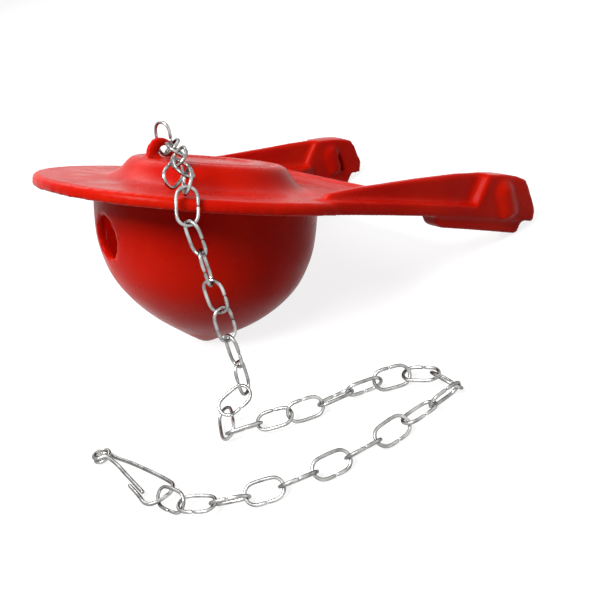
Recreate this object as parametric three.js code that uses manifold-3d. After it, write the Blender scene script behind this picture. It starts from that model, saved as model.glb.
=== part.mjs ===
// Rubber flush-valve flapper with its lift chain, as it lies on a table: millimetres, +Z up.
// The moulding is drawn in its own frame, disc axis upright, and then laid over on its bulb and
// the two ends of its yoke. The chain falls over the near rim and loops round on the table.
import * as THREE from "three";
import { mergeVertices } from "three/addons/utils/BufferGeometryUtils.js";
import Module from "manifold-3d";

const wasm = await Module();
wasm.setup();
const { Manifold, Mesh: SolidMesh } = wasm;

const vec = (x, y, z) => new THREE.Vector3(x, y, z);
const vec2 = (x, y) => new THREE.Vector2(x, y);

// Sealing disc
const DISC_RADIUS = 40;
const DISC_TOP = 2.6;
const RIM_FACE = 1.9;
const RIM_BEVEL = 0.9;
const OUTSIDE_SEGMENTS = 60;
const INSIDE_SEGMENTS = 36;

// Domed top of the air chamber, radius and height of each point from its foot to the centre
const DOME_PROFILE = [
  [25.0, 2.6],
  [23.0, 2.9],
  [21.4, 3.8],
  [20.2, 5.0],
  [19.3, 6.3],
  [18.2, 7.4],
  [16.8, 7.9],
  [15.9, 7.9],
  [15.6, 7.4],
  [14.6, 7.4],
  [14.2, 7.9],
  [10.4, 8.1],
  [9.8, 7.6],
  [0.0, 7.6],
];
const DOME_ROOF_UNDERSIDE = 5.2;
const DOME_INNER_RADIUS = 15.8;

// Hollow bulb, radius and depth below the disc, from its root to its slightly pointed end
const BULB_PROFILE = [
  [26.6, 0.0],
  [26.6, 5.0],
  [26.1, 11.0],
  [24.9, 15.5],
  [22.85, 20.2],
  [20.0, 24.0],
  [16.3, 27.6],
  [12.1, 30.7],
  [7.5, 33.3],
  [3.2, 35.6],
  [0.9, 36.6],
  [0.0, 36.7],
];
const BULB_WALL = 2.3;
const BULB_LEAN = vec(1.5, -0.6, 0);
const VENT_RADIUS = 4.9;
const VENT_DEPTH = 10.2;
const VENT_AZIMUTH = THREE.MathUtils.degToRad(180.5);

// Yoke: a flat plate whose two arms carry a rib each and end in an ear
const PLATE_TOP = 3.0;
const ARM_OUTER = 38.5;
const ARM_INNER = 29.5;
const CROTCH = 40;
const CROTCH_ROUND = 9;
const YOKE_END = 72.8;
const RIB_OUTER = 36.2;
const RIB_INNER = 33.9;
const EAR_INNER = 32.4;
const RIB_CREST = [
  [8.6, 3.4],
  [9.4, 4.2],
  [13.8, 5.1],
  [18.0, 5.8],
  [23.6, 6.6],
  [29.5, 7.5],
  [34.0, 8.2],
  [39.2, 8.9],
  [47.0, 10.0],
  [55.0, 10.7],
  [60.5, 10.9],
  [64.6, 10.8],
  [68.2, 10.2],
];
const EAR_REAR = [
  [70.6, 6.9],
  [72.6, 3.6],
];
const EAR_BEVEL = { foot: 50.2, crest: 54.2, run: 0.8 };
const PAD_DEPTH = 2.7;
const PAD = { from: 39.0, to: 69.6, outer: 37.6, inner: 32.4 };

// Boss on both faces of each ear, leaning back, with a slit for the peg of the overflow pipe
const BOSS_TOP = vec(60.6, 0, 6.6);
const BOSS_FOOT = vec(63.3, 0, 1.2);
const BOSS_RADIUS = 3.7;
const BOSS_OUTER = 36.4;
const BOSS_INNER = 34.8;
const SLIT_TOP = vec(63.2, 0, 6.4);
const SLIT_FOOT = vec(66.0, 0, 0.8);
const SLIT_RADIUS = 0.7;
const SLIT_DEEP = 34.6;

// Hinge band across the root of the yoke, and the lip behind it
const HINGE = { from: 27, to: 36, half: 19, depth: 0.6 };
const LIP = { from: 37.2, half: 25, rise: 0.9 };

// Lug for the chain
const LUG = { x: -12.7, width: 7, top: 12.5, foot: 5.6, thickness: 1.7 };
const LUG_HOLE = { x: -11.8, z: 9.3, radius: 1.5 };

// The soft arms are bent a little by the weight on them: the near one down, the far one up
const NEAR_ARM_BEND = -1.6;
const FAR_ARM_BEND = 4.1;
const BEND_START = 10;
const BEND_RUN = 62;
const BEND_FACET = 9;
const FINEST_EDGE = 0.02;

// Lie of the moulding on the table
const LIE_TILT = THREE.MathUtils.degToRad(27.68);
const LIE_ROLL = THREE.MathUtils.degToRad(-3.78);
const LIE_HEIGHT = 33.6;

// Chain of bent wire links
const WIRE_RADIUS = 0.4;
const LINK_LENGTH = 8.5;
const LINK_WIDTH = 5.0;
const WIRE_SIDES = 8;
const BEND_STEPS = 6;
const BUTT_GAP = 0.12;

// Wire clip at the end of the chain
const CLIP_WIRE_RADIUS = 0.45;
const CLIP_STEPS = 76;

const RUBBER = new THREE.MeshStandardMaterial({ color: 0xc41a10, roughness: 0.45 });
const STEEL = new THREE.MeshStandardMaterial({ color: 0xb9b9b4, metalness: 1, roughness: 0.25 });

// The solid bounded by a closed geometry.
function toSolid(geometry) {
  const bare = new THREE.BufferGeometry();
  bare.setAttribute("position", geometry.getAttribute("position"));
  bare.setIndex(geometry.index);
  const merged = mergeVertices(bare, 1e-4);
  const corners = merged.index.array;
  const kept = [];
  for (let i = 0; i < corners.length; i += 3) {
    const [a, b, c] = corners.slice(i, i + 3);
    if (a !== b && b !== c && c !== a) kept.push(a, b, c);
  }
  const mesh = new SolidMesh({
    numProp: 3,
    vertProperties: new Float32Array(merged.getAttribute("position").array),
    triVerts: new Uint32Array(kept),
  });
  return new Manifold(mesh);
}

// A drawable geometry of a solid.
function toGeometry(solid) {
  const mesh = solid.getMesh();
  const geometry = new THREE.BufferGeometry();
  geometry.setAttribute("position", new THREE.BufferAttribute(mesh.vertProperties, 3));
  geometry.setIndex(new THREE.BufferAttribute(mesh.triVerts, 1));
  geometry.computeVertexNormals();
  return geometry;
}

// A solid of revolution about Z from [radius, height] points that start and end on the axis.
function turned(profile, segments) {
  const points = profile.map(([radius, height]) => vec2(radius, height));
  return toSolid(new THREE.LatheGeometry(points, segments).rotateX(Math.PI / 2));
}

// A solid skinned over rings of the same number of points, with flat ends.
function lofted(rings) {
  const count = rings[0].length;
  const positions = rings.flat().flatMap((p) => [p.x, p.y, p.z]);
  const index = [];
  for (let r = 0; r + 1 < rings.length; r += 1) {
    for (let i = 0; i < count; i += 1) {
      const j = (i + 1) % count;
      const [a, b] = [r * count + i, r * count + j];
      index.push(a, a + count, b, b, a + count, b + count);
    }
  }
  const outline = rings[0].map((p) => new THREE.Vector2(p.x, p.z));
  const last = (rings.length - 1) * count;
  for (const [a, b, c] of THREE.ShapeUtils.triangulateShape(outline, [])) {
    index.push(a, b, c);
    index.push(last + a, last + c, last + b);
  }
  const geometry = new THREE.BufferGeometry();
  geometry.setAttribute("position", new THREE.Float32BufferAttribute(positions, 3));
  geometry.setIndex(index);
  return toSolid(geometry);
}

// A prism across Y of an outline given as [x, z] points, anticlockwise seen from -Y.
function acrossY(outline, from, to) {
  const ringAt = (y) => outline.map(([x, z]) => vec(x, y, z));
  return lofted([ringAt(from), ringAt(to)]);
}

// A prism up Z of an outline in plan.
function upZ(shape, bottom, top) {
  const settings = { depth: top - bottom, bevelEnabled: false, curveSegments: 8 };
  return toSolid(new THREE.ExtrudeGeometry(shape, settings).translate(0, 0, bottom));
}

// A round rod between two points.
function rod(from, to, radius, sides = 16) {
  const along = to.clone().sub(from);
  const geometry = new THREE.CylinderGeometry(radius, radius, along.length(), sides);
  const turn = new THREE.Quaternion().setFromUnitVectors(vec(0, 1, 0), along.clone().normalize());
  const centre = from.clone().add(to).multiplyScalar(0.5);
  geometry.applyQuaternion(turn).translate(centre.x, centre.y, centre.z);
  return toSolid(geometry);
}

function ball(centre, radius) {
  return toSolid(new THREE.SphereGeometry(radius, 16, 8).translate(centre.x, centre.y, centre.z));
}

// Disc, dome and bulb, turned as one.
function chamberOutside() {
  const curve = new THREE.SplineCurve(BULB_PROFILE.map(([radius, depth]) => vec2(radius, -depth)));
  const bulb = curve.getPoints(2 * (BULB_PROFILE.length - 1)).map(({ x, y }) => [x, y]).reverse();
  bulb[0][0] = 0;
  const rim = [
    [DISC_RADIUS, 0],
    [DISC_RADIUS, RIM_FACE],
    [DISC_RADIUS - RIM_BEVEL, DISC_TOP + 0.1],
    [DISC_RADIUS - 2.5 * RIM_BEVEL, DISC_TOP],
  ];
  return turned([...bulb, ...rim, ...DOME_PROFILE], OUTSIDE_SEGMENTS);
}

// Air space inside the bulb and dome.
function chamberInside() {
  const bulb = [...BULB_PROFILE].reverse().map(([radius, depth]) => {
    const inset = 1 - BULB_WALL / BULB_PROFILE[0][0];
    return [radius * inset, -depth * (1 - BULB_WALL / BULB_PROFILE.at(-1)[1]) - BULB_WALL / 3];
  });
  const roof = [
    [DOME_INNER_RADIUS + 2, 0.6],
    [DOME_INNER_RADIUS + 0.6, 2.6],
    [DOME_INNER_RADIUS, DOME_ROOF_UNDERSIDE],
    [0, DOME_ROOF_UNDERSIDE],
  ];
  return turned([...bulb, ...roof], INSIDE_SEGMENTS);
}

// Round vent through one side of the bulb.
function vent() {
  const outward = vec(Math.cos(VENT_AZIMUTH), Math.sin(VENT_AZIMUTH), 0);
  const inner = outward.clone().multiplyScalar(DOME_INNER_RADIUS).setZ(-VENT_DEPTH);
  const outer = outward.clone().multiplyScalar(DISC_RADIUS).setZ(-VENT_DEPTH);
  return rod(inner, outer, VENT_RADIUS, 32);
}

// Upright tab with a rounded top and a cross hole.
function lug() {
  const half = LUG.width / 2;
  const outline = [
    [LUG.x - half - 0.4, LUG.foot],
    [LUG.x + half + 0.4, LUG.foot],
  ];
  for (let step = 0; step <= 12; step += 1) {
    const turn = (Math.PI * step) / 12;
    outline.push([LUG.x + half * Math.cos(turn), LUG.top - half + half * Math.sin(turn)]);
  }
  const tab = acrossY(outline, -LUG.thickness / 2, LUG.thickness / 2);
  const reach = vec(0, LUG.thickness, 0);
  const centre = vec(LUG_HOLE.x, 0, LUG_HOLE.z);
  return tab.subtract(rod(centre.clone().sub(reach), centre.clone().add(reach), LUG_HOLE.radius));
}

// Flat plate of the yoke: root over the disc, two arms, and a rounded crotch between them.
function yokePlate() {
  const neck = CROTCH + CROTCH_ROUND;
  const outline = new THREE.Shape();
  outline.moveTo(9, -ARM_OUTER);
  outline.lineTo(YOKE_END, -ARM_OUTER);
  outline.lineTo(YOKE_END, -EAR_INNER);
  outline.lineTo(EAR_BEVEL.crest, -EAR_INNER);
  outline.lineTo(neck, -ARM_INNER);
  outline.quadraticCurveTo(CROTCH, -ARM_INNER, CROTCH, -ARM_INNER + CROTCH_ROUND);
  outline.lineTo(CROTCH, ARM_INNER - CROTCH_ROUND);
  outline.quadraticCurveTo(CROTCH, ARM_INNER, neck, ARM_INNER);
  outline.lineTo(EAR_BEVEL.crest, EAR_INNER);
  outline.lineTo(YOKE_END, EAR_INNER);
  outline.lineTo(YOKE_END, ARM_OUTER);
  outline.lineTo(9, ARM_OUTER);
  outline.lineTo(7, 34);
  outline.quadraticCurveTo(22, 12, 20, 0);
  outline.quadraticCurveTo(22, -12, 7, -34);
  return upZ(outline, 0, PLATE_TOP);
}

// Thinned band that lets the flapper hinge, cut into the top of the plate.
function hingeBand() {
  const { from, to, half, depth } = HINGE;
  const floor = PLATE_TOP - depth;
  const slope = 1.2;
  const outline = [
    [from + slope, floor],
    [to - slope, floor],
    [to + slope, PLATE_TOP + depth],
    [from - slope, PLATE_TOP + depth],
  ];
  return acrossY(outline, -half, half);
}

// Low raised lip along the back edge of the plate.
function lip() {
  const outline = [
    [LIP.from, PLATE_TOP - 0.5],
    [CROTCH, PLATE_TOP - 0.5],
    [CROTCH, PLATE_TOP + LIP.rise * 0.6],
    [CROTCH - 0.6, PLATE_TOP + LIP.rise],
    [LIP.from + 0.8, PLATE_TOP + LIP.rise],
  ];
  return acrossY(outline, -LIP.half, LIP.half);
}

// Upright rib on one arm; side is -1 for the near arm and 1 for the far one.
function rib(side) {
  const outline = [
    [RIB_CREST[0][0], 1],
    [YOKE_END - 1, 1],
    [70, 8],
    ...[...RIB_CREST].reverse(),
  ];
  const [from, to] = side < 0 ? [-RIB_OUTER, -RIB_INNER] : [RIB_INNER, RIB_OUTER];
  return acrossY(outline, from, to);
}

// Thick end of an arm, with a bevel where it swells out of the rib on either side.
function ear(side) {
  const { foot, crest, run } = EAR_BEVEL;
  const crestPoints = RIB_CREST.filter(([x]) => x > crest + run);
  const outlineAt = (shift) => [
    [foot + shift, 1],
    [YOKE_END - 0.2, 1],
    ...[...EAR_REAR].reverse(),
    ...[...crestPoints].reverse(),
    [crest + shift, 10.5],
  ];
  const ringAt = (y, shift) => outlineAt(shift).map(([x, z]) => vec(x, y, z));
  const rings = [
    ringAt(-ARM_OUTER, run),
    ringAt(-RIB_OUTER, 0),
    ringAt(-RIB_INNER, 0),
    ringAt(-EAR_INNER, run),
  ];
  const near = lofted(rings);
  return side < 0 ? near : near.mirror([0, 1, 0]);
}

// Pad under the outer half of an arm.
function pad(side) {
  const { from, to, outer, inner } = PAD;
  const outline = [
    [from + 2.9, -PAD_DEPTH],
    [to - 2.4, -PAD_DEPTH - 0.7],
    [to - 1.2, -PAD_DEPTH - 0.3],
    [to, 0.5],
    [from, 0.5],
    [from + 1.3, -PAD_DEPTH + 0.8],
  ];
  const near = acrossY(outline, -outer, -inner);
  return side < 0 ? near : near.mirror([0, 1, 0]);
}

// Boss with a round top that stands proud of both faces of an ear.
function boss(side) {
  const capsuleAt = (y) => {
    const top = BOSS_TOP.clone().setY(side * y);
    const foot = BOSS_FOOT.clone().setY(side * y);
    return Manifold.hull([rod(foot, top, BOSS_RADIUS), ball(top, BOSS_RADIUS)]);
  };
  return Manifold.hull([capsuleAt(BOSS_OUTER), capsuleAt(BOSS_INNER)]);
}

// Slit for a peg, cut into the inner face of an ear.
function slit(side) {
  const channelAt = (y) => {
    const top = SLIT_TOP.clone().setY(side * y);
    const foot = SLIT_FOOT.clone().setY(side * y);
    return rod(foot, top, SLIT_RADIUS);
  };
  return Manifold.hull([channelAt(SLIT_DEEP), channelAt(ARM_INNER - BOSS_RADIUS)]);
}

// Bends the arms and leans the bulb.
function settle(point) {
  const [x, y, z] = point;
  if (z < 0 && Math.hypot(x, y) < BULB_PROFILE[0][0] + 1) {
    const share = -z / BULB_PROFILE.at(-1)[1];
    point[0] += BULB_LEAN.x * share;
    point[1] += BULB_LEAN.y * share;
  }
  const reach = Math.max(0, x - BEND_START) / BEND_RUN;
  const sideways = THREE.MathUtils.clamp(y / ARM_OUTER, -1, 1);
  const bend = sideways < 0 ? NEAR_ARM_BEND : FAR_ARM_BEND;
  point[2] += bend * Math.abs(sideways) * reach * reach;
}

// The whole moulding in its own frame: underside of the disc at Z 0, yoke towards +X.
function moulding() {
  let solid = chamberOutside().add(yokePlate()).add(lug());
  solid = solid.subtract(hingeBand()).add(lip());
  for (const side of [-1, 1]) {
    solid = solid.add(rib(side)).add(ear(side)).add(pad(side)).add(boss(side));
    solid = solid.subtract(slit(side));
  }
  solid = solid.subtract(chamberInside()).subtract(vent());
  return solid.simplify(FINEST_EDGE).refineToLength(BEND_FACET).warp(settle);
}

// A wire swept along points, its section kept upright on the given normal at each point.
function sweptWire(points, normalAt, radius, sides) {
  const rings = points.map((point, i) => {
    const before = points[Math.max(i - 1, 0)];
    const after = points[Math.min(i + 1, points.length - 1)];
    const along = after.clone().sub(before).normalize();
    const normal = normalAt(i).clone().addScaledVector(along, -normalAt(i).dot(along)).normalize();
    const across = normal.clone().cross(along);
    const ring = [];
    for (let side = 0; side < sides; side += 1) {
      const turn = (2 * Math.PI * (side + 0.5)) / sides;
      const offset = normal.clone().multiplyScalar(radius * Math.sin(turn));
      ring.push(point.clone().add(offset).addScaledVector(across, radius * Math.cos(turn)));
    }
    return ring;
  });
  return cappedSkin(rings, points[0], points.at(-1));
}

// Skin over rings of points with a fan over each end.
function cappedSkin(rings, start, end) {
  const sides = rings[0].length;
  const positions = [...rings.flat(), start, end].flatMap((p) => [p.x, p.y, p.z]);
  const index = [];
  const first = rings.length * sides;
  const last = (rings.length - 1) * sides;
  for (let side = 0; side < sides; side += 1) {
    const next = (side + 1) % sides;
    for (let ring = 0; ring < last; ring += sides) {
      index.push(ring + side, ring + next, ring + sides + side);
      index.push(ring + next, ring + sides + next, ring + sides + side);
    }
    index.push(first, next, side);
    index.push(first + 1, last + side, last + next);
  }
  const geometry = new THREE.BufferGeometry();
  geometry.setAttribute("position", new THREE.Float32BufferAttribute(positions, 3));
  geometry.setIndex(index);
  return geometry;
}

// Centreline of a link in its own plane, long axis X, from one side of its butt joint round to
// the other.
function linkCentreline() {
  const bend = LINK_WIDTH / 2 - WIRE_RADIUS;
  const straight = LINK_LENGTH / 2 - WIRE_RADIUS - bend;
  const points = [vec(BUTT_GAP / 2, bend, 0)];
  for (const end of [1, -1]) {
    for (let step = 0; step <= BEND_STEPS; step += 1) {
      const turn = end * (Math.PI / 2) - (Math.PI * step) / BEND_STEPS;
      const x = end * straight + bend * Math.cos(turn);
      points.push(vec(x, bend * Math.sin(turn), 0));
    }
  }
  points.push(vec(-BUTT_GAP / 2, bend, 0));
  return points;
}

// A link between two joints of the chain, turned about its length from a reference direction.
function linkMesh(name, from, to, reference, turnDegrees) {
  const along = to.clone().sub(from).normalize();
  const facing = reference.clone().addScaledVector(along, -reference.dot(along)).normalize();
  facing.applyAxisAngle(along, THREE.MathUtils.degToRad(turnDegrees));
  const across = facing.clone().cross(along);
  const place = new THREE.Matrix4().makeBasis(along, across, facing);
  place.setPosition(from.clone().add(to).multiplyScalar(0.5));
  const wire = sweptWire(linkCentreline(), () => vec(0, 0, 1), WIRE_RADIUS, WIRE_SIDES);
  const mesh = new THREE.Mesh(wire.applyMatrix4(place), STEEL.clone());
  mesh.name = name;
  return mesh;
}

const lie = new THREE.Matrix4()
  .makeRotationY(LIE_TILT)
  .multiply(new THREE.Matrix4().makeRotationX(LIE_ROLL))
  .setPosition(0, 0, LIE_HEIGHT);
const onBody = (x, y, z) => vec(x, y, z).applyMatrix4(lie);

// The joints of links spread evenly along a curve.
function alongCurve(links, path) {
  return new THREE.CatmullRomCurve3(path, false, "centripetal").getSpacedPoints(links);
}

// The chain from the lug to the clip, stretch by stretch: the joints between its links, what the
// links face, and how far in degrees each is turned from that.
const TOWARDS_FRONT = vec(-0.35, -0.94, 0);
const UP = vec(0, 0, 1);
const BODY_UP = onBody(0, 0, 1).sub(onBody(0, 0, 0));
const RUNS = [
  {
    joints: alongCurve(4, [
      onBody(-11.3, -1.95, 10.6),
      onBody(-13.9, -9.0, 10.7),
      onBody(-17.2, -18.0, 9.5),
      onBody(-20.2, -27.2, 6.6),
    ]),
    reference: BODY_UP,
    turns: [55, -30, 55, -24],
  },
  {
    joints: [onBody(-20.3, -27.5, 6.4), onBody(-22.5, -33.0, 4.9)],
    reference: BODY_UP,
    turns: [76],
  },
  {
    joints: [vec(-16.9, -32.4, 50.5), vec(-20.7, -35.2, 44.4)],
    reference: TOWARDS_FRONT,
    turns: [4],
  },
  {
    joints: alongCurve(6, [
      vec(-20.2, -35.6, 44.8),
      vec(-21.2, -36.0, 24.0),
      vec(-22.7, -36.8, 5.4),
    ]),
    reference: TOWARDS_FRONT,
    turns: [56, 104, 35, -28, 66, 123],
  },
  {
    joints: [vec(-22.7, -36.8, 5.4), vec(-28.7, -35.7, 3.7)],
    reference: UP,
    turns: [-40],
  },
  {
    joints: [vec(-28.4, -35.5, 3.3), vec(-31.6, -41.3, 1.5)],
    reference: UP,
    turns: [36],
  },
  {
    joints: [
      vec(-31.2, -41.0, 1.9),
      vec(-25.3, -44.15, 2.0),
      vec(-19.8, -47.9, 2.3),
      vec(-13.8, -50.9, 2.3),
      vec(-7.6, -53.1, 2.45),
      vec(-2.0, -55.4, 2.25),
      vec(3.2, -58.5, 2.25),
      vec(6.6, -64.0, 2.2),
      vec(6.4, -70.1, 2.2),
      vec(-0.1, -69.9, 2.2),
      vec(-6.7, -69.4, 2.1),
      vec(-13.35, -68.9, 1.95),
      vec(-19.95, -67.55, 1.95),
      vec(-26.4, -65.6, 1.95),
      vec(-32.7, -63.2, 1.95),
      vec(-38.6, -60.0, 1.97),
      vec(-44.1, -56.1, 2.06),
      vec(-48.4, -51.1, 2.3),
      vec(-50.1, -45.2, 2.0),
    ],
    reference: UP,
    turns: [-40, 20, 65, -25, -66, 52, 0, -49, 61, 15, -43, 43, -43, 43, -43, 52, 2, -48],
  },
];

// Chain links along all the runs.
function chainLinks() {
  const links = [];
  for (const { joints, reference, turns } of RUNS) {
    turns.forEach((turn, i) => {
      const name = `chain_link_${String(links.length + 1).padStart(2, "0")}`;
      links.push(linkMesh(name, joints[i], joints[i + 1], reference, turn));
    });
  }
  return links;
}

// The first link, standing through the hole of the lug.
function lugLink() {
  const foot = onBody(LUG_HOLE.x + 0.2, -0.47, LUG_HOLE.z - 0.3);
  const top = onBody(LUG_HOLE.x - 1.4, -0.8, LUG_HOLE.z + 6.1);
  const facing = onBody(2.4, 1, 0).sub(onBody(0, 0, 0));
  return linkMesh("lug_link", foot, top, facing, 0);
}

// A spare link left hanging from the third link of the chain.
function looseLink() {
  const foot = vec(-16.3, -21.1, 48.7);
  const top = vec(-10.6, -16.8, 48.8);
  return linkMesh("loose_link", foot, top, UP, 80);
}

// The clip: one wire from its hooked end round the base, up one leg, round the eye and down the
// other leg to lie beside the hook.
function clipMesh() {
  const eye = vec(-53.2, -22.0, 0);
  const eyeRadius = 1.75;
  const low = CLIP_WIRE_RADIUS + 0.02;
  const turnRise = 2 * CLIP_WIRE_RADIUS + 0.12;
  const frontRise = 1.25;
  const base = -45.9;
  const raised = (x, y, extra = 0) => {
    const height = low + (frontRise * (eye.y - y)) / (eye.y - base);
    return vec(x, y, Math.max(height, low) + extra);
  };
  const route = [
    raised(-53.05, -35.6),
    raised(-53.1, -41.0),
    raised(-53.2, -44.0),
    raised(-52.2, -45.5),
    raised(-50.2, base),
    raised(-48.1, -45.7),
    raised(-46.8, -44.3),
    raised(-46.9, -42.0),
    raised(-49.3, -30.6),
  ];
  const stepTurn = Math.PI / 5;
  for (let step = 0; step <= 18; step += 1) {
    const turn = step * stepTurn - 0.25;
    const x = eye.x + eyeRadius * Math.cos(turn);
    route.push(vec(x, eye.y + eyeRadius * Math.sin(turn), low + (turnRise * step) / 10));
  }
  route.push(vec(-52.3, -26.4, low + 1.2 * turnRise));
  route.push(raised(-52.1, -33.5, 0.2));
  route.push(raised(-52.05, -40.6));
  const curve = new THREE.CatmullRomCurve3(route, false, "centripetal");
  const wire = sweptWire(curve.getSpacedPoints(CLIP_STEPS), () => UP, CLIP_WIRE_RADIUS, WIRE_SIDES);
  const mesh = new THREE.Mesh(wire, STEEL.clone());
  mesh.name = "hook_clip";
  return mesh;
}

const body = new THREE.Mesh(toGeometry(moulding()), RUBBER);
body.name = "flapper_body";
body.applyMatrix4(lie);

const group = new THREE.Group();
group.add(body, lugLink(), looseLink(), ...chainLinks(), clipMesh());
const box = new THREE.Box3().setFromObject(group, true);
const middle = box.getCenter(vec(0, 0, 0));
group.position.set(-middle.x, -middle.y, -box.min.z);

export default group;
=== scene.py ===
"""Rubber toilet flapper with its chain, lying on a white table in soft studio light."""

import math

import bpy
import numpy as np
from mathutils import Matrix, Quaternion, Vector


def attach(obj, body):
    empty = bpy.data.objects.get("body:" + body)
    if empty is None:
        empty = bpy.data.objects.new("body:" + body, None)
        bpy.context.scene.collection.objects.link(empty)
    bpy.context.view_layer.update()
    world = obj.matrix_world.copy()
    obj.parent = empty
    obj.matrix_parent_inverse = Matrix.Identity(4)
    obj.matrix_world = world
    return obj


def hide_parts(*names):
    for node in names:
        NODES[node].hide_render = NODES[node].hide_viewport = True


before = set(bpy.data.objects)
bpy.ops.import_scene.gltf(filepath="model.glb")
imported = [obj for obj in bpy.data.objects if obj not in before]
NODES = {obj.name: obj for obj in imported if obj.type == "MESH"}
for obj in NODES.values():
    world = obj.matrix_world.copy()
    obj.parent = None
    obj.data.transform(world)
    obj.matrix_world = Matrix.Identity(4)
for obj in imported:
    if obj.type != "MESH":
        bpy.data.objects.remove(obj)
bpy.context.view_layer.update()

MM = 0.001
WHITE = (1, 1, 1, 1)

# Meshes
WELD_DISTANCE = 0.002 * MM
VOXEL = 0.62 * MM
EDGE_ROUNDS = 2
FACE_ROUNDS = 20
CALM_TURN = math.radians(9.0)
CALM_MARGIN = 3
WIRE_ROUNDING = 2

# Noise: the range that most of its values lie in, and that in which one colour turns to another
NOISE_DETAIL = 4.0
NOISE_LOW = 0.3
NOISE_HIGH = 0.7
BLEND_START = 0.35
BLEND_END = 0.65
GRAIN_HEIGHT = 0.05 * MM

# Rubber: patches and grain are noise scales, in waves per metre
RUBBER_RED = (0.56, 0.009, 0.0008, 1)
RUBBER_DARK_RED = (0.47, 0.004, 0.0006, 1)
RUBBER_PATCHES = 55.0
RUBBER_SHEEN = 0.05
RUBBER_GLOSSY = 0.24
RUBBER_MATT = 0.38
RUBBER_GLOSS_PATCHES = 160.0
RUBBER_GRAIN = 1400.0
RUBBER_GRAIN_STRENGTH = 0.12
RUBBER_GLOW = 0.35
RUBBER_GLOW_REACH = (1.0, 0.05, 0.02)
RUBBER_GLOW_SCALE = 3.0 * MM

# Steel wire
STEEL_BRIGHT = (0.66, 0.66, 0.64, 1)
STEEL_DULL = (0.26, 0.26, 0.25, 1)
# Painted shade: the near-black colour painted on the wire's flanks, and how far towards the
# middle it spreads
STEEL_PAINTED_SHADE = (0.010, 0.010, 0.011, 1)
STEEL_PAINTED_SHADE_FALLOFF = 0.58
STEEL_PATCHES = 420.0
STEEL_GLOSSY = 0.16
STEEL_MATT = 0.34
STEEL_PITS = 2600.0
STEEL_PIT_STRENGTH = 0.15

# Light that the thin walls let into the bulb
BULB_GLOW_PLACE = Vector((-9.0, 14.0, 27.0)) * MM
BULB_GLOW_RADIUS = 6.0 * MM
BULB_GLOW_POWER = 0.006

# Lamps round the object: place and size in metres, and power in watts
SOFTBOXES = {
    "key": {"place": (-0.35, -0.10, 0.60), "size": 0.30, "power": 6.0},
    "fill": {"place": (0.45, -0.35, 0.35), "size": 0.40, "power": 0.4},
    "back": {"place": (0.10, 0.50, 0.50), "size": 0.40, "power": 2.0},
}
LAMP_AIM = Vector((0, 0, 0.03))

# Room: how strongly it lights the object, and how bright it shows
ROOM_LIGHT = 0.17
ROOM_SEEN = 1.0

# Table
TABLE_HALF = 4.0
TABLE_GREY = (0.26, 0.26, 0.26, 1)
TABLE_LIFT = 0.84

# Camera, as fitted to the photo
CAMERA_PLACE = Vector((-78.98, -162.0, 108.5)) * MM
CAMERA_FORWARD = Vector((0.38258, 0.77614, -0.50124))
CAMERA_ROLL = math.radians(-18.61)
CAMERA_LENS = 51.0
CAMERA_SENSOR = 36.0
CAMERA_NEAREST = 0.01


class Shader:
    """A node tree, with short calls to add and join its nodes."""

    def __init__(self, tree):
        self.tree = tree
        self.tree.nodes.clear()

    def add(self, kind, **values):
        """A node of that kind, with values for its inputs by their names."""
        node = self.tree.nodes.new(kind)
        for name, value in values.items():
            node.inputs[name.replace("_", " ")].default_value = value
        return node

    def math(self, operation, first, second):
        """The result of a sum on two values, each a socket or a number."""
        node = self.tree.nodes.new("ShaderNodeMath")
        node.operation = operation
        for socket, value in zip(node.inputs, (first, second)):
            if isinstance(value, (int, float)):
                socket.default_value = value
            else:
                self.join(value, socket)
        return node.outputs[0]

    def join(self, output, target):
        """Links an output to an input."""
        self.tree.links.new(output, target)


def new_material(name):
    """A material and its empty node tree."""
    material = bpy.data.materials.new(name)
    material.use_nodes = True
    return material, Shader(material.node_tree)


def noise(shader, scale):
    """A noise texture's value, in the row's own frame."""
    place = shader.add("ShaderNodeTexCoord")
    texture = shader.add("ShaderNodeTexNoise", Scale=scale, Detail=NOISE_DETAIL)
    shader.join(place.outputs["Object"], texture.inputs["Vector"])
    return texture.outputs["Fac"]


def blend(shader, source, low, high):
    """A colour that goes from low to high with a noise value."""
    node = shader.add("ShaderNodeValToRGB")
    start, end = node.color_ramp.elements
    start.position = BLEND_START
    start.color = low
    end.position = BLEND_END
    end.color = high
    shader.join(source, node.inputs["Fac"])
    return node.outputs["Color"]


def between(shader, source, low, high):
    """A noise value spread over the range from low to high."""
    values = {"From_Min": NOISE_LOW, "From_Max": NOISE_HIGH, "To_Min": low, "To_Max": high}
    node = shader.add("ShaderNodeMapRange", **values)
    shader.join(source, node.inputs["Value"])
    return node.outputs["Result"]


def grain(shader, surface, height, strength):
    """Fine bumps on a surface."""
    bump = shader.add("ShaderNodeBump", Strength=strength, Distance=GRAIN_HEIGHT)
    shader.join(height, bump.inputs["Height"])
    shader.join(bump.outputs["Normal"], surface.inputs["Normal"])


def put_out(shader, surface, kind="ShaderNodeOutputMaterial"):
    """Joins a surface to the output of its material or world."""
    output = shader.add(kind)
    shader.join(surface.outputs[0], output.inputs["Surface"])


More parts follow.
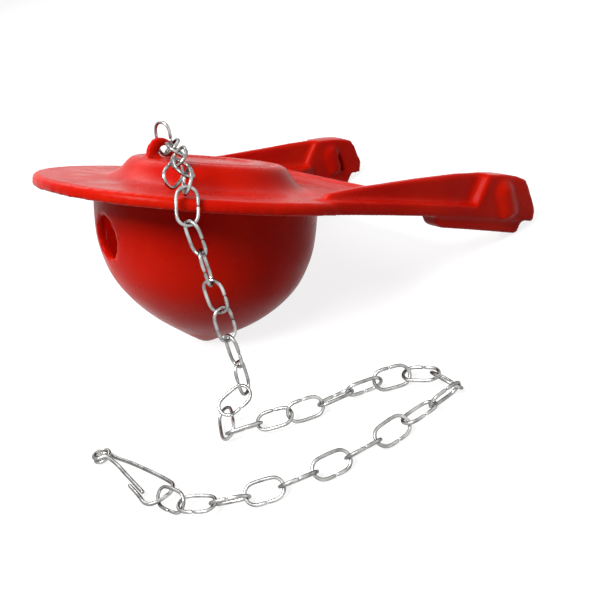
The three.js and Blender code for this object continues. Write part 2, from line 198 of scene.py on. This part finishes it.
def rubber_material():
    """Red rubber that lets a little light in, uneven in colour and gloss, with a faint grain."""
    material, shader = new_material("red rubber")
    surface = shader.add("ShaderNodeBsdfPrincipled")
    surface.inputs["Specular IOR Level"].default_value = RUBBER_SHEEN
    surface.inputs["Subsurface Weight"].default_value = RUBBER_GLOW
    surface.inputs["Subsurface Radius"].default_value = RUBBER_GLOW_REACH
    surface.inputs["Subsurface Scale"].default_value = RUBBER_GLOW_SCALE
    colour = blend(shader, noise(shader, RUBBER_PATCHES), RUBBER_DARK_RED, RUBBER_RED)
    shader.join(colour, surface.inputs["Base Color"])
    patches = noise(shader, RUBBER_GLOSS_PATCHES)
    roughness = between(shader, patches, RUBBER_GLOSSY, RUBBER_MATT)
    shader.join(roughness, surface.inputs["Roughness"])
    grain(shader, surface, noise(shader, RUBBER_GRAIN), RUBBER_GRAIN_STRENGTH)
    put_out(shader, surface)
    return material


def steel_material():
    """Bright drawn wire with duller patches and fine pits, and painted shade that darkens its
    flanks where it turns away from the camera.
    """
    material, shader = new_material("bright wire")
    surface = shader.add("ShaderNodeBsdfPrincipled", Metallic=1.0)
    patches = noise(shader, STEEL_PATCHES)
    metal = blend(shader, patches, STEEL_DULL, STEEL_BRIGHT)
    # Painted shade: the base colour goes dark towards the flanks, standing in for the dark
    # reflections that the wire would show there
    painted_shade_falloff = shader.add("ShaderNodeLayerWeight", Blend=STEEL_PAINTED_SHADE_FALLOFF)
    painted_shade_mix = shader.add("ShaderNodeMixRGB", Color2=STEEL_PAINTED_SHADE)
    shader.join(painted_shade_falloff.outputs["Facing"], painted_shade_mix.inputs["Fac"])
    shader.join(metal, painted_shade_mix.inputs["Color1"])
    shader.join(painted_shade_mix.outputs["Color"], surface.inputs["Base Color"])
    roughness = between(shader, patches, STEEL_MATT, STEEL_GLOSSY)
    shader.join(roughness, surface.inputs["Roughness"])
    grain(shader, surface, noise(shader, STEEL_PITS), STEEL_PIT_STRENGTH)
    put_out(shader, surface)
    return material


def camera_sees(shader):
    """1 for rays from the camera, and for those that metal or glass sends on."""
    path = shader.add("ShaderNodeLightPath").outputs
    bounced = shader.math("MAXIMUM", path["Is Glossy Ray"], path["Is Transmission Ray"])
    return shader.math("MAXIMUM", path["Is Camera Ray"], bounced)


def floor_material():
    """White table: grey paint, so that little light comes back up, lifted for the camera."""
    material, shader = new_material("white table")
    paint = shader.add("ShaderNodeBsdfDiffuse", Color=TABLE_GREY)
    lift = shader.add("ShaderNodeEmission", Color=WHITE)
    shader.join(shader.math("MULTIPLY", camera_sees(shader), TABLE_LIFT), lift.inputs["Strength"])
    both = shader.add("ShaderNodeAddShader")
    shader.join(paint.outputs[0], both.inputs[0])
    shader.join(lift.outputs[0], both.inputs[1])
    put_out(shader, both)
    return material


def apply_modifiers(piece):
    """Gives a piece the mesh that its modifiers make of it."""
    depsgraph = bpy.context.evaluated_depsgraph_get()
    mesh = bpy.data.meshes.new_from_object(piece.evaluated_get(depsgraph))
    piece.modifiers.clear()
    piece.data = mesh


def calm_vertices(mesh):
    """The vertices that lie on smooth faces, well away from every edge."""
    normals = np.empty(len(mesh.vertices) * 3)
    mesh.vertices.foreach_get("normal", normals)
    normals = normals.reshape(-1, 3)
    ends = np.empty(len(mesh.edges) * 2, dtype=np.int32)
    mesh.edges.foreach_get("vertices", ends)
    a, b = ends.reshape(-1, 2).T
    turn = np.arccos(np.clip(np.sum(normals[a] * normals[b], axis=1), -1, 1))
    sharpest = np.zeros(len(normals))
    np.maximum.at(sharpest, a, turn)
    np.maximum.at(sharpest, b, turn)
    for _ in range(CALM_MARGIN):
        spread = sharpest.copy()
        np.maximum.at(spread, a, sharpest[b])
        np.maximum.at(spread, b, sharpest[a])
        sharpest = spread
    return np.flatnonzero(sharpest < CALM_TURN).tolist()


def copy_of(node, name):
    """A new object with the node's mesh, its seams welded."""
    piece = bpy.data.objects.new(name, node.data.copy())
    bpy.context.scene.collection.objects.link(piece)
    weld = piece.modifiers.new("weld", "WELD")
    weld.merge_threshold = WELD_DISTANCE
    return piece


def smooth(piece, rounds, group=""):
    """Smooths a piece, or only the vertices of a group."""
    modifier = piece.modifiers.new("smooth", "SMOOTH")
    modifier.iterations = rounds
    modifier.vertex_group = group


def finished(piece, node, material):
    """Gives a piece its shading and its place in the frame."""
    mesh = piece.data
    mesh.polygons.foreach_set("use_smooth", [True] * len(mesh.polygons))
    mesh.materials.clear()
    mesh.materials.append(material)
    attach(piece, "root")
    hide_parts(node)


def rubber_body():
    """The moulding, with edges rounded as soft rubber has them and its facets smoothed out."""
    piece = copy_of(NODES["flapper_body"], "moulding")
    remesh = piece.modifiers.new("remesh", "REMESH")
    remesh.mode = "VOXEL"
    remesh.voxel_size = VOXEL
    smooth(piece, EDGE_ROUNDS)
    apply_modifiers(piece)
    faces = piece.vertex_groups.new(name="faces")
    faces.add(calm_vertices(piece.data), 1.0, "REPLACE")
    smooth(piece, FACE_ROUNDS, "faces")
    apply_modifiers(piece)
    finished(piece, "flapper_body", rubber_material())


def wire_pieces():
    """Every link and the clip, with their wire made round."""
    material = steel_material()
    for name, node in NODES.items():
        if name == "flapper_body":
            continue
        piece = copy_of(node, name + "_wire")
        rounding = piece.modifiers.new("rounding", "SUBSURF")
        rounding.levels = WIRE_ROUNDING
        apply_modifiers(piece)
        finished(piece, name, material)


def table():
    """White ground out to the horizon."""
    mesh = bpy.data.meshes.new("table")
    half = TABLE_HALF
    corners = [(-half, -half, 0), (half, -half, 0), (half, half, 0), (-half, half, 0)]
    mesh.from_pydata(corners, [], [(0, 1, 2, 3)])
    mesh.materials.append(floor_material())
    ground = bpy.data.objects.new("table", mesh)
    bpy.context.scene.collection.objects.link(ground)


def softbox(name, place, size, power):
    """A square area lamp aimed at the object."""
    lamp = bpy.data.lights.new(name, "AREA")
    lamp.shape = "SQUARE"
    lamp.size = size
    lamp.energy = power
    box = bpy.data.objects.new(name, lamp)
    box.location = place
    aim = LAMP_AIM - box.location
    box.rotation_euler = aim.to_track_quat("-Z", "Y").to_euler()
    bpy.context.scene.collection.objects.link(box)


def bulb_glow():
    """A dim lamp in the hollow of the bulb, for the light that comes in through its walls."""
    lamp = bpy.data.lights.new("bulb glow", "POINT")
    lamp.energy = BULB_GLOW_POWER
    lamp.shadow_soft_size = BULB_GLOW_RADIUS
    glow = bpy.data.objects.new("bulb glow", lamp)
    glow.location = BULB_GLOW_PLACE
    glow.visible_camera = False
    bpy.context.scene.collection.objects.link(glow)


def room_light():
    """An even grey room that shows as white to the camera, and in the metal."""
    world = bpy.data.worlds.new("room")
    bpy.context.scene.world = world
    world.use_nodes = True
    shader = Shader(world.node_tree)
    plain = shader.add("ShaderNodeBackground", Color=WHITE, Strength=ROOM_LIGHT)
    seen = shader.add("ShaderNodeBackground", Color=WHITE, Strength=ROOM_SEEN)
    either = shader.add("ShaderNodeMixShader")
    shader.join(camera_sees(shader), either.inputs["Fac"])
    shader.join(plain.outputs[0], either.inputs[1])
    shader.join(seen.outputs[0], either.inputs[2])
    put_out(shader, either, "ShaderNodeOutputWorld")


def photo_camera():
    """The camera where the photo was taken from."""
    data = bpy.data.cameras.new("photo camera")
    data.lens = CAMERA_LENS
    data.sensor_width = CAMERA_SENSOR
    data.clip_start = CAMERA_NEAREST
    camera = bpy.data.objects.new("photo camera", data)
    level = CAMERA_FORWARD.to_track_quat("-Z", "Y")
    turn = level @ Quaternion((0, 0, 1), CAMERA_ROLL)
    camera.matrix_world = Matrix.Translation(CAMERA_PLACE) @ turn.to_matrix().to_4x4()
    bpy.context.scene.collection.objects.link(camera)
    bpy.context.scene.camera = camera


def studio():
    """Light, ground and camera."""
    room_light()
    table()
    for name, settings in SOFTBOXES.items():
        softbox(name, **settings)
    bulb_glow()
    photo_camera()


rubber_body()
wire_pieces()
studio()
bpy.context.scene.view_settings.view_transform = "Standard"
